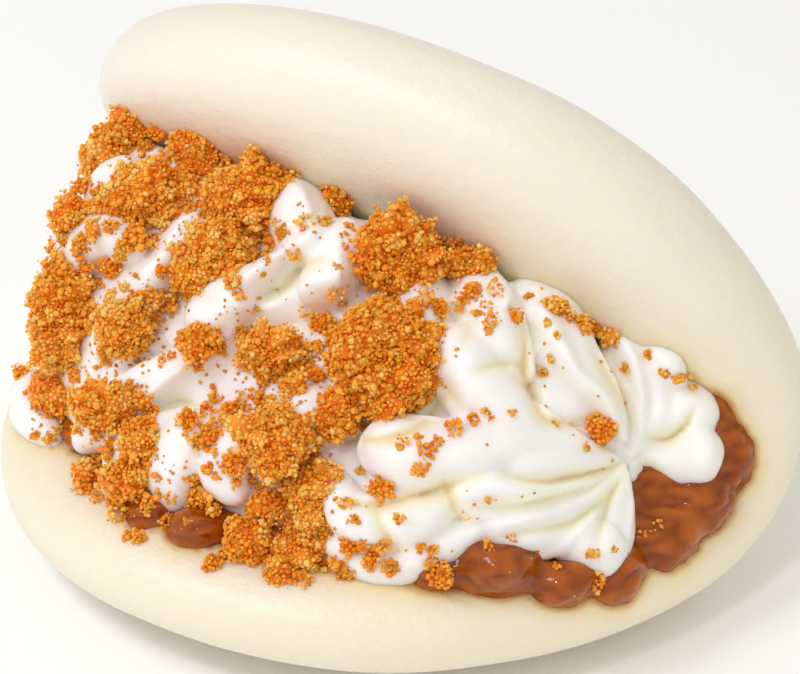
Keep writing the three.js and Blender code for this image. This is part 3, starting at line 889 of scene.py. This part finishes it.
def ball(subdivisions):
    work = bmesh.new()
    bmesh.ops.create_icosphere(work, subdivisions=subdivisions, radius=1)
    directions = np.array([vertex.co for vertex in work.verts])
    faces = [tuple(vertex.index for vertex in face.verts) for face in work.faces]
    work.free()
    return directions, faces


def lump_skin(directions, centre, half, rough, seed):
    phase = three_phases(seed)
    x, y, z = directions.T
    slow = np.sin(SLOW_WAVES[0] * x + phase[0]) * np.sin(SLOW_WAVES[1] * y + phase[1])
    fine = np.sin(FINE_WAVES[0] * x + phase[1]) * np.sin(FINE_WAVES[1] * y + phase[2])
    fine = fine * np.sin(FINE_WAVES[2] * z)
    local = directions * np.asarray(half) * (1 + rough * (slow + fine))[:, None]
    return centre + local @ np.stack([ACROSS, UP, OUT])


# %% [markdown]
# ### The caramel's finish
#
# Cooked fruit is dark amber and wet. The shader's coat is the layer of syrup: fine wrinkles lie under
# it, and a broad relief of its own keeps its highlights whole.

# %% The caramel's finish
def caramel_finish():
    # Low tones are the painted shade in the hollows of the wrinkles.
    stops = [(0.0, (104, 36, 0)), (0.35, (150, 68, 0)), (1.0, (180, 94, 8))]
    material, tree, shader = new_finish("wet_caramel", stops, roughness=0.25, specular=0.08,
                                        light_depth=(0.5, (1.0, 0.35, 0.08), 0.0025))
    set_values(shader, {"Coat Weight": 0.7, "Coat Roughness": 0.08})
    wrinkles = add_bump(tree, scale=900, detail=4, roughness=0.6, distance=0.0004, strength=0.7)
    tree.links.new(wrinkles, shader.inputs["Normal"])
    wet_skin = add_bump(tree, scale=420, detail=1, roughness=0.5, distance=0.0005, strength=0.6)
    tree.links.new(wet_skin, shader.inputs["Coat Normal"])
    return material


# %% Making the caramel fruit
STRING_SIZES = (4.5, 1.7, 2.5)
STRING_HEIGHT = 0.65
GRIT_SIZE = 1.4
GRIT_HEIGHT = 0.14
WRINKLE_SINK = 0.1
HOLLOW_SHADE_TONE = 0.25
FOLD_OF_NO_SHADE = 0.55


def make_caramel():
    directions, faces = ball(5)
    centres = land_all([caramel_tree, bun_tree], [place for place, _, _ in CARAMEL_LUMPS])
    bodies = [caramel_heap]
    for i, ((_, half, proud), centre) in enumerate(zip(CARAMEL_LUMPS, centres)):
        middle = centre + OUT * (proud - half[1])
        lump = lump_skin(directions, middle, (*half, max(half)), LUMP_ROUGHNESS, LUMP_SEED + i)
        bodies.append((lump, faces))
    caramel = fuse("caramel_fruit", bodies, voxel=0.58, rounds=3)
    points, normals = piece_points(caramel)
    strings = np.stack([points @ axis / size for axis, size in zip((ACROSS, UP, OUT), STRING_SIZES)], axis=1)
    fold = STRING_HEIGHT * np.abs(waves(strings, 1)) + GRIT_HEIGHT * waves(points, GRIT_SIZE)
    set_points(caramel, points + normals * (fold - WRINKLE_SINK)[:, None])
    # Painted shade: the hollows between the raised strings get a darker tone, the strings a lighter one.
    store_tone(caramel, np.clip(HOLLOW_SHADE_TONE + fold / FOLD_OF_NO_SHADE, 0, 1))
    return caramel


caramel = make_caramel()
finish_piece(caramel, "caramel", caramel_finish(), "caramel_filling")
caramel_fruit_tree = tree_of_piece(caramel)

# %% [markdown]
# ### Where the filling soaks in, and painted shade
#
# Dough that touches the caramel soaks it up and turns brown. Near the cream the dough is given a warm
# ochre tone, which is painted shade: it stands in for the warm shade where dough and cream meet. So
# every point of the bun is given a tone by how near the caramel and the cream are. The lower lobe is
# painted a little darker all over, a painted shade which fades out towards the upper one.

# %% Soak and painted shade on the dough: strengths, and millimetres over which they fade
CARAMEL_STAIN = (0.9, 0.8)
WIDE_CREAM_SHADE = (0.15, 3)
NARROW_CREAM_SHADE = (0.35, 1.1)
LOWER_LOBE_SHADE = 0.1
LOWER_SHADE_TOP = 30
LOWER_SHADE_HEIGHT = 36


def faded(stain_and_shade, distance):
    strength, reach = stain_and_shade
    return strength * np.exp(-distance / reach)


def distances(tree, points):
    return np.array([tree.find_nearest(Vector(point))[3] for point in points])


def stain_and_shade_dough():
    points, _ = piece_points(bun)
    from_caramel = distances(caramel_fruit_tree, points)
    from_cream = distances(cream_tree, points)
    # Painted shade: near the cream the dough is given a warm ochre tone.
    painted_cream_shade = faded(WIDE_CREAM_SHADE, from_cream) + faded(NARROW_CREAM_SHADE, from_cream)
    # Painted shade: the lower lobe is darker, fading out towards the upper lobe.
    lower_lobe_shade = LOWER_LOBE_SHADE * np.clip((LOWER_SHADE_TOP - points[:, 2]) / LOWER_SHADE_HEIGHT, 0, 1)
    tones = np.clip(faded(CARAMEL_STAIN, from_caramel) + painted_cream_shade + lower_lobe_shade, 0, 1)
    store_tone(bun, tones)
    print("the stain reaches from", tones.min().round(2), "to", tones.max().round(2))


stain_and_shade_dough()

# %% [markdown]
# ## Crumble
#
# Biscuit crumble is sugar, butter and flour rubbed together: tiny golden grains that stick in
# clusters. A cluster is made as the real one is. Its core is the lump that the solid has, with crags
# in it, and hundreds of grains about half a millimetre wide sit on that skin. A grain is a ball of
# twenty faces whose points are pulled in and out, so no two are alike. All grains of a piece are
# made together as arrays, which is thousands of times faster than adding objects.

# %% Grains
GRAIN_SHAPE, GRAIN_FACES = ball(1)
GRAIN_FACES = np.array(GRAIN_FACES)
CORNER_LEAST = 0.75
CORNER_SPREAD = 0.5
STRETCH_LEAST = 0.8
STRETCH_SPREAD = 0.4
GRAIN_SEED = 8
random = np.random.default_rng(GRAIN_SEED)


def random_turns(count):
    """Rotation matrices, evenly spread over all turns"""
    a, b, c, d = random.normal(size=(4, count))
    size = np.sqrt(a * a + b * b + c * c + d * d)
    a, b, c, d = a / size, b / size, c / size, d / size
    rows = [
        [1 - 2 * (c * c + d * d), 2 * (b * c - a * d), 2 * (b * d + a * c)],
        [2 * (b * c + a * d), 1 - 2 * (b * b + d * d), 2 * (c * d - a * b)],
        [2 * (b * d - a * c), 2 * (c * d + a * b), 1 - 2 * (b * b + c * c)],
    ]
    return np.array(rows).transpose(2, 0, 1)


def grains_at(centres, radii, tones):
    """One mesh of grains: points, faces and a tone for each point"""
    count = len(centres)
    corners = CORNER_LEAST + CORNER_SPREAD * random.random((count, len(GRAIN_SHAPE), 1))
    stretch = STRETCH_LEAST + STRETCH_SPREAD * random.random((count, 1, 3))
    shape = GRAIN_SHAPE[None] * corners * stretch * np.asarray(radii)[:, None, None]
    turned = np.einsum("nij,nkj->nki", random_turns(count), shape)
    points = (np.asarray(centres)[:, None, :] + turned).reshape(-1, 3)
    faces = (GRAIN_FACES[None] + len(GRAIN_SHAPE) * np.arange(count)[:, None, None]).reshape(-1, 3)
    return points, faces, np.repeat(tones, len(GRAIN_SHAPE))


def make_crumble_piece(name, parts, node):
    """A piece from several bodies of points, faces and tones, in place of a solid"""
    points = np.vstack([part[0] for part in parts])
    tones = np.concatenate([part[2] for part in parts])
    starts = np.cumsum([0] + [len(part[0]) for part in parts])
    faces = np.vstack([np.asarray(part[1]) + start for part, start in zip(parts, starts)])
    piece = make_piece(name, points, faces.tolist(), smooth=False)
    store_tone(piece, tones)
    finish_piece(piece, "crumble", CRUMBLE, node)


# %% [markdown]
# ### The crumble's finish
#
# Each grain has its own tone, from dark baked brown to bright gold, and the finish reads it. Part of
# that tone is painted light and shade: grains on crags are lighter and those in hollows darker, a few
# grains are painted bright as glints, and the cores seen in the chinks are painted darker. The grains
# are slightly clear, like sugar, so they glow orange where they are thin, and they glisten.

# %% The crumble's finish
def crumble_finish():
    # The brightest stops are mostly reached by grains painted bright as glints and by the painted light on
    # crags.
    stops = [(0.0, (154, 62, 2)), (0.3, (240, 123, 16)), (0.55, (251, 153, 38)), (0.8, (255, 177, 70)),
             (1.0, (255, 200, 112))]
    material, _, _ = new_finish("sugar_crumble", stops, roughness=0.3, specular=0.25,
                                light_depth=(0.6, (1.0, 0.5, 0.12), 0.0012))
    return material


CRUMBLE = crumble_finish()

# %% [markdown]
# ### Clusters
#
# The clusters' places and sizes are the solid's. The skin of each core gets crags, a noise at two
# sizes, and broad swells. Grains are strewn over it more densely than they could lie side by side, so
# that they overlap and leave dark chinks. Those that the cream would bury are left out.

# %% The clusters, in millimetres: their places across and up, half sizes and tones
CLUSTERS = [
    ((1.8, -8.6), (6.4, 7.0), 0.34),
    ((3.6, 4.0), (4.2, 5.4), 0.3),
    ((-14.4, 11.2), (5.4, 5.2), 0.36),
    ((-18.8, 3.4), (4.8, 5.6), 0.42),
    ((-27.0, 11.6), (5.6, 4.0), 0.42),
    ((-37.6, -2.4), (4.6, 6.6), 0.4),
    ((-31.6, 17.4), (3.5, 3.8), 0.42),
    ((-30.4, -4.0), (3.4, 3.7), 0.46),
    ((-33.0, -13.4), (3.5, 2.6), 0.44),
    ((-12.2, -18.0), (4.1, 3.8), 0.4),
    ((-12.8, -7.6), (3.7, 2.8), 0.46),
    ((-8.4, -31.0), (3.8, 4.2), 0.46),
    ((-7.2, -24.8), (3.3, 3.8), 0.5),
    ((-29.4, -22.2), (3.8, 2.8), 0.38),
]
CLUSTER_CORE = ball(5)
CRUMB_CORE = ball(3)
CLUSTER_SEED = 37
CLUSTER_DEPTH = 0.8
CLUSTER_RISE = 0.45
CLUSTER_BRIGHTER = 0.18
CRAG_SIZE = 2.1
FINE_CRAGS = 2.3
CRAG_MIDDLE = 0.55
BULK_SIZE = 4.5
BULK_SHARE = 1.2


def cragged(directions, centre, half, rough, seed, height):
    """A lump's skin with crags, its outward directions, and how far each point is raised"""
    skin = lump_skin(directions, centre, half, rough, seed)
    outward = skin - centre
    outward /= np.linalg.norm(outward, axis=1)[:, None]
    relief = 2 * np.abs(waves(skin, CRAG_SIZE)) + np.abs(waves(FINE_CRAGS * skin, CRAG_SIZE)) - CRAG_MIDDLE
    bulk = waves(skin, BULK_SIZE)
    return skin + outward * (height * (relief + BULK_SHARE * bulk))[:, None], outward, relief


# %% Strewing grains over a core
NUDGE = 0.35
GRAIN_HALF = 0.26
GRAIN_SIZE_SPREAD = 0.3
GRAIN_LIMITS = (0.12, 0.5)
GRAIN_RISE = (-0.3, 0.25)
BURIED_BELOW = 0.12
RELIEF_LIGHT_AND_SHADE = 0.38
TONE_SPREAD = 0.08
PAINTED_GLINT_SHARE = 0.05
PAINTED_GLINT = 0.3
CORE_SINK = 0.3
CORE_SHADE = 0.2
CORE_RELIEF_LIGHT_AND_SHADE = 0.2


def even_directions(count):
    """Directions spread evenly over a ball, each nudged a little"""
    index = np.arange(count) + 0.5
    z = 1 - 2 * index / count
    angle = math.pi * (1 + 5**0.5) * index
    flat = np.sqrt(1 - z * z)
    directions = np.stack([flat * np.cos(angle), flat * np.sin(angle), z], axis=1)
    directions += random.normal(scale=NUDGE / math.sqrt(count), size=directions.shape)
    return directions / np.linalg.norm(directions, axis=1)[:, None]


def grain_sizes(count):
    return np.clip(GRAIN_HALF * np.exp(random.normal(scale=GRAIN_SIZE_SPREAD, size=count)), *GRAIN_LIMITS)


def depth_in(tree, point):
    """How deep a point lies under a surface, negative above it"""
    nearest, normal, _, _ = tree.find_nearest(Vector(point))
    return -(Vector(point) - nearest).dot(normal)


def lump_of_grains(centre, half, rough, seed, tone, crags, cover, core):
    """A cragged core with grains on it. The grains under the cream are left out."""
    mean_half = (half[0] * half[1] * half[2]) ** (1 / 3)
    count = max(5, int(cover * 4 * mean_half**2 / GRAIN_HALF**2))
    skin, outward, relief = cragged(even_directions(count), centre, half, rough, seed, crags)
    kept = np.array([depth_in(cream_tree, point) < BURIED_BELOW for point in skin])
    skin, outward, relief = skin[kept], outward[kept], relief[kept]
    radii = grain_sizes(len(skin))
    centres = skin + outward * random.uniform(*GRAIN_RISE, size=len(skin))[:, None]
    # Painted light and shade: grains on the crags get a lighter tone, those in the hollows a darker one.
    tones = tone + RELIEF_LIGHT_AND_SHADE * relief + random.normal(scale=TONE_SPREAD, size=len(skin))
    # Painted highlights: a few grains are made brighter, as glints.
    tones += PAINTED_GLINT * (random.random(len(skin)) < PAINTED_GLINT_SHARE)
    parts = [grains_at(centres, radii, np.clip(tones, 0, 1))]
    if core:
        body, outward, core_relief = cragged(core[0], centre, half, rough, seed, crags)
        # Painted shade: the core, seen only in the chinks between grains, is darker, and lighter on its
        # crags.
        core_tones = np.clip(tone - CORE_SHADE + CORE_RELIEF_LIGHT_AND_SHADE * core_relief, 0, 1)
        parts.append((body - CORE_SINK * outward, core[1], core_tones))
    return parts


def make_clusters():
    centres = land_all([cream_tree, bun_tree], [place for place, _, _ in CLUSTERS])
    for i, ((_, half, tone), centre) in enumerate(zip(CLUSTERS, centres)):
        deep = CLUSTER_DEPTH * min(half)
        middle = centre + OUT * CLUSTER_RISE * deep
        parts = lump_of_grains(middle, (*half, deep), rough=0.1, seed=CLUSTER_SEED + i,
                               tone=tone + CLUSTER_BRIGHTER, crags=1.2, cover=1.35, core=CLUSTER_CORE)
        name = f"crumb_cluster_{i + 1:02d}"
        make_crumble_piece(f"{name}_grains", parts, name)


make_clusters()

# %% [markdown]
# ### Small crumbs and dust
#
# The larger of the small crumbs lie where the solid has them. The rest is strewn: thick at the left
# and round the clusters, thin at the right, and there are single crumbs that the photograph shows
# apart. Dust is single grains, strewn in the same way.

# %% The crumbs that lie apart, in millimetres: places across and up, and half sizes
SMALL_CRUMBS = [
    (-39.0, -12.2, 2.6), (-21.4, -5.8, 2.4), (-20.6, 17.8, 3.2), (-28.4, 20.4, 2.6), (-3.8, 11.6, 2.4),
    (-36.8, 9.8, 2.5), (-4.2, -14.8, 2.9), (-20.4, -24.8, 2.4), (-16.0, -30.6, 3.0), (-28.4, -17.8, 2.4),
    (-35.4, -22.6, 2.2), (28.6, -17.2, 1.9), (12.4, 3.0, 2.6), (0.8, -24.6, 1.3),
]
CHIPS = [
    (-34.2, 17.4, 1.4), (-31.0, 20.1, 1.0), (-34.9, 13.6, 1.1), (-35.6, 9.6, 1.0), (-37.6, 7.4, 1.0),
    (-35.8, 6.4, 1.0), (-38.9, 6.1, 0.5), (-38.2, 4.8, 0.9), (-34.2, 8.1, 1.0), (-33.9, 10.8, 1.0),
    (-32.0, 8.6, 0.9), (-32.6, 12.9, 0.9), (-35.1, 3.6, 0.9), (-37.0, 2.2, 1.0), (-31.8, 3.6, 1.4),
    (-22.6, 13.9, 1.5), (-28.9, 7.2, 1.8), (-25.8, 14.9, 1.1), (-25.6, 8.9, 1.1), (-30.8, 5.1, 1.1),
    (-27.6, 18.1, 1.1), (-26.6, 16.6, 0.8), (-29.9, 6.4, 1.0), (-33.6, 1.6, 0.6), (-35.4, 0.8, 0.8),
    (-28.9, 20.6, 1.1), (-26.0, 20.1, 1.1), (-23.1, 18.1, 1.4), (-20.4, 17.4, 1.2), (-17.4, 16.4, 1.1),
    (-15.1, 15.8, 1.1), (-12.6, 15.0, 1.4), (-10.0, 14.8, 0.8), (-18.2, 14.9, 1.1), (-19.4, 13.0, 1.1),
    (-21.2, 10.9, 0.8), (-17.9, 10.6, 1.4), (-25.8, 2.9, 0.8), (-27.0, 0.1, 1.1), (-24.9, -1.2, 1.4),
    (-28.1, 0.1, 0.6), (-29.6, -1.1, 0.8), (-30.4, 1.0, 0.6), (-32.0, -1.5, 1.0), (-15.1, 7.0, 1.1),
    (-10.8, 7.4, 0.9), (-7.9, 8.5, 0.8), (-5.1, 8.6, 0.5), (-2.6, 8.0, 0.5), (-3.5, 7.0, 0.4),
    (-3.0, 5.5, 0.4), (-3.9, 3.2, 0.4), (-4.5, -0.1, 0.8), (-3.6, -1.4, 0.4), (-0.1, 5.8, 1.1),
    (9.2, 2.6, 1.1), (8.4, -2.4, 1.0), (6.8, -1.1, 0.8), (10.5, 6.0, 0.8), (7.4, 7.0, 0.9),
    (-5.8, -4.2, 1.2), (-5.0, -5.9, 1.2), (-14.2, -2.0, 0.5), (-16.1, 0.0, 0.5), (-43.2, -9.4, 1.1),
    (-40.8, -10.2, 0.8), (-38.1, -14.9, 0.6), (-38.9, -16.5, 0.6), (-39.8, -17.5, 0.6), (-34.1, -16.8, 0.9),
    (-35.4, -15.1, 0.8), (-32.0, -16.1, 0.5), (-33.9, -8.8, 0.5), (-28.6, -13.0, 1.0), (-29.5, -11.8, 0.6),
    (-27.2, -14.6, 0.9), (-29.9, -19.2, 1.1), (-32.4, -19.2, 0.8), (-33.5, -20.5, 0.8), (-34.2, -24.9, 0.8),
    (-30.8, -23.9, 1.1), (-31.4, -25.5, 1.1), (-31.6, -27.1, 0.9), (-29.4, -24.4, 0.8), (-29.1, -29.9, 0.8),
    (-30.6, -29.6, 0.5), (-25.8, -28.2, 0.6), (-23.2, -28.0, 0.4), (-19.9, -5.6, 1.4), (-22.9, -5.9, 1.2),
    (-26.0, -8.2, 0.5), (-24.8, -7.6, 0.5), (-21.4, -8.9, 0.5), (-23.0, -15.5, 1.1), (-22.5, -17.4, 0.6),
    (-19.6, -13.0, 0.8), (-20.6, -14.4, 0.8), (-17.1, -14.2, 1.0), (-16.0, -13.0, 0.5), (-20.1, -18.0, 1.1),
    (-20.8, -16.8, 0.5), (-22.0, -18.6, 0.5), (-19.5, -19.6, 0.4), (-17.4, -21.1, 1.5), (-20.5, -21.5, 0.6),
    (-19.5, -22.5, 0.6), (-22.2, -22.8, 0.6), (-19.8, -26.8, 1.0), (-9.8, -12.1, 1.6), (-8.9, -8.9, 0.9),
    (-7.0, -10.2, 1.0), (-10.1, -7.6, 0.8), (-13.4, -11.1, 0.8), (-14.6, -12.5, 0.6), (-13.6, -13.1, 0.5),
    (-15.6, -14.2, 0.5), (-12.6, -14.1, 1.1), (-8.9, -20.5, 1.0), (-7.0, -20.6, 0.8), (-5.6, -17.1, 1.1),
    (-1.2, -16.8, 0.5), (0.9, -15.0, 0.5), (-11.1, -23.1, 0.8), (-3.8, -26.4, 0.5), (-12.9, -26.4, 1.9),
    (-15.1, -26.8, 1.0), (-10.1, -26.1, 1.1), (-20.1, -33.1, 1.0), (-11.9, -34.4, 1.6), (-3.2, -31.2, 1.1),
    (-4.4, -33.8, 1.0), (-1.6, -31.1, 0.6), (0.6, -31.5, 0.9), (-0.6, -33.1, 1.0), (1.9, -34.0, 1.0),
    (-3.9, -35.0, 1.0), (8.2, -35.4, 1.4), (6.8, -33.6, 0.8), (7.0, -31.9, 0.5), (-8.9, -35.4, 0.9),
    (-18.6, -32.1, 1.0), (10.0, -17.1, 0.9), (7.9, -18.8, 0.6), (3.6, -18.9, 0.6), (5.6, -18.2, 0.3),
    (5.8, -22.0, 0.8), (0.9, -24.6, 1.1), (2.9, -28.1, 0.5), (-4.2, -22.8, 0.4), (7.2, -20.6, 0.2),
    (11.4, -27.8, 0.4), (14.2, -26.0, 0.5), (27.0, -32.9, 0.5), (21.1, -10.4, 0.6), (31.5, -10.1, 0.6),
    (12.4, -16.2, 0.5), (14.6, -15.9, 0.4), (12.4, -0.4, 1.0), (15.4, -0.2, 0.9), (11.1, -1.8, 0.7),
    (14.2, -2.0, 0.6), (13.0, -3.0, 0.5), (14.8, -3.8, 0.8), (17.8, -3.4, 0.9), (14.5, -5.2, 0.3),
    (19.5, -1.0, 0.5), (22.8, -2.4, 1.4), (24.4, -3.6, 0.8), (26.1, -4.6, 1.1), (27.6, -5.2, 1.0),
    (29.6, -6.2, 1.0), (23.0, -5.9, 0.4), (21.8, -4.2, 0.4), (34.2, -8.4, 0.6), (36.1, -10.8, 0.6),
    (38.1, -11.4, 0.8), (39.5, -12.4, 0.5), (35.1, -29.5, 0.5), (33.4, -30.5, 0.4), (27.4, -36.4, 0.8),
    (26.5, -32.9, 0.5), (29.5, -32.5, 0.4), (22.2, -34.5, 0.4), (5.5, -31.8, 0.5), (6.8, -32.1, 0.6),
    (17.0, -30.6, 0.5),
]
LANDING_TREES = [cream_tree, caramel_fruit_tree, bun_tree]
CRUMBS_SEED = 101
CHIPS_SEED = 201
CRUMB_STRETCH = (0.75, 1.15)
CRUMB_RISE = 0.2
CRUMB_CRAGS = 0.4
LARGEST_CRAGGED = 2
SMALLEST_WITH_CORE = 0.9


def make_crumbs(name, crumbs, first_seed):
    centres = land_all(LANDING_TREES, [(across, up) for across, up, _ in crumbs])
    parts = []
    for i, ((_, _, size), centre) in enumerate(zip(crumbs, centres)):
        half = size * random.uniform(*CRUMB_STRETCH, size=3)
        crags = CRUMB_CRAGS * min(size, LARGEST_CRAGGED)
        core = CRUMB_CORE if size > SMALLEST_WITH_CORE else None
        parts += lump_of_grains(centre + OUT * CRUMB_RISE * size, half, rough=0.12, seed=first_seed + i,
                                tone=0.54, crags=crags, cover=0.9, core=core)
    make_crumble_piece(name, parts, "whipped_cream")


# %% Places for strewn crumbs and dust
NEAR_SHARE = 0.55
NEAR_SPREAD = 0.35
LEFT_END = -42
STREWN_WIDTH = 74
CROWDING = 2.6
STREWN_UP = (-34, 20)
STREWN_SLANT = 0.35
SLANT_MIDDLE = 15
THIN_FROM = -6
THIN_SHARE = 0.35


def strewn_places(count):
    """Places for strewn crumbs: most lie near a cluster, the others thin out to the right"""
    places = []
    while len(places) < count:
        if random.random() < NEAR_SHARE:
            (across, up), half, _ = CLUSTERS[random.integers(len(CLUSTERS))]
            angle = random.uniform(0, 2 * math.pi)
            reach = 1.0 + abs(random.normal(scale=NEAR_SPREAD))
            across += reach * half[0] * math.cos(angle)
            up += reach * half[1] * math.sin(angle)
        else:
            across = LEFT_END + STREWN_WIDTH * random.random() ** CROWDING
            up = random.uniform(*STREWN_UP) - STREWN_SLANT * (across + SLANT_MIDDLE)
        _, hits = look_through((across, up), LANDING_TREES)
        wanted = across < THIN_FROM or random.random() < THIN_SHARE
        on_filling = min(hits) < hits[-1]
        if wanted and on_filling:
            places.append((across, up))
    return places


# %% Making the small crumbs, the chips and the dust
STREWN_CHIPS = 180
CHIP_SIZES = (0.3, 0.8)
DUST_GRAINS = 1000
DUST_SIZES = (0.12, 0.3)
DUST_TONE = (0.5, 0.12)


def make_dust():
    places = strewn_places(DUST_GRAINS)
    centres = land_all(LANDING_TREES, places)
    radii = random.uniform(*DUST_SIZES, size=len(places))
    tones = np.clip(random.normal(*DUST_TONE, size=len(places)), 0, 1)
    make_crumble_piece("crumb_dust", [grains_at(centres, radii, tones)], "whipped_cream")


strewn = [(across, up, random.uniform(*CHIP_SIZES)) for across, up in strewn_places(STREWN_CHIPS)]
make_crumbs("small_crumbs", SMALL_CRUMBS, CRUMBS_SEED)
make_crumbs("crumb_chips", CHIPS + strewn, CHIPS_SEED)
make_dust()
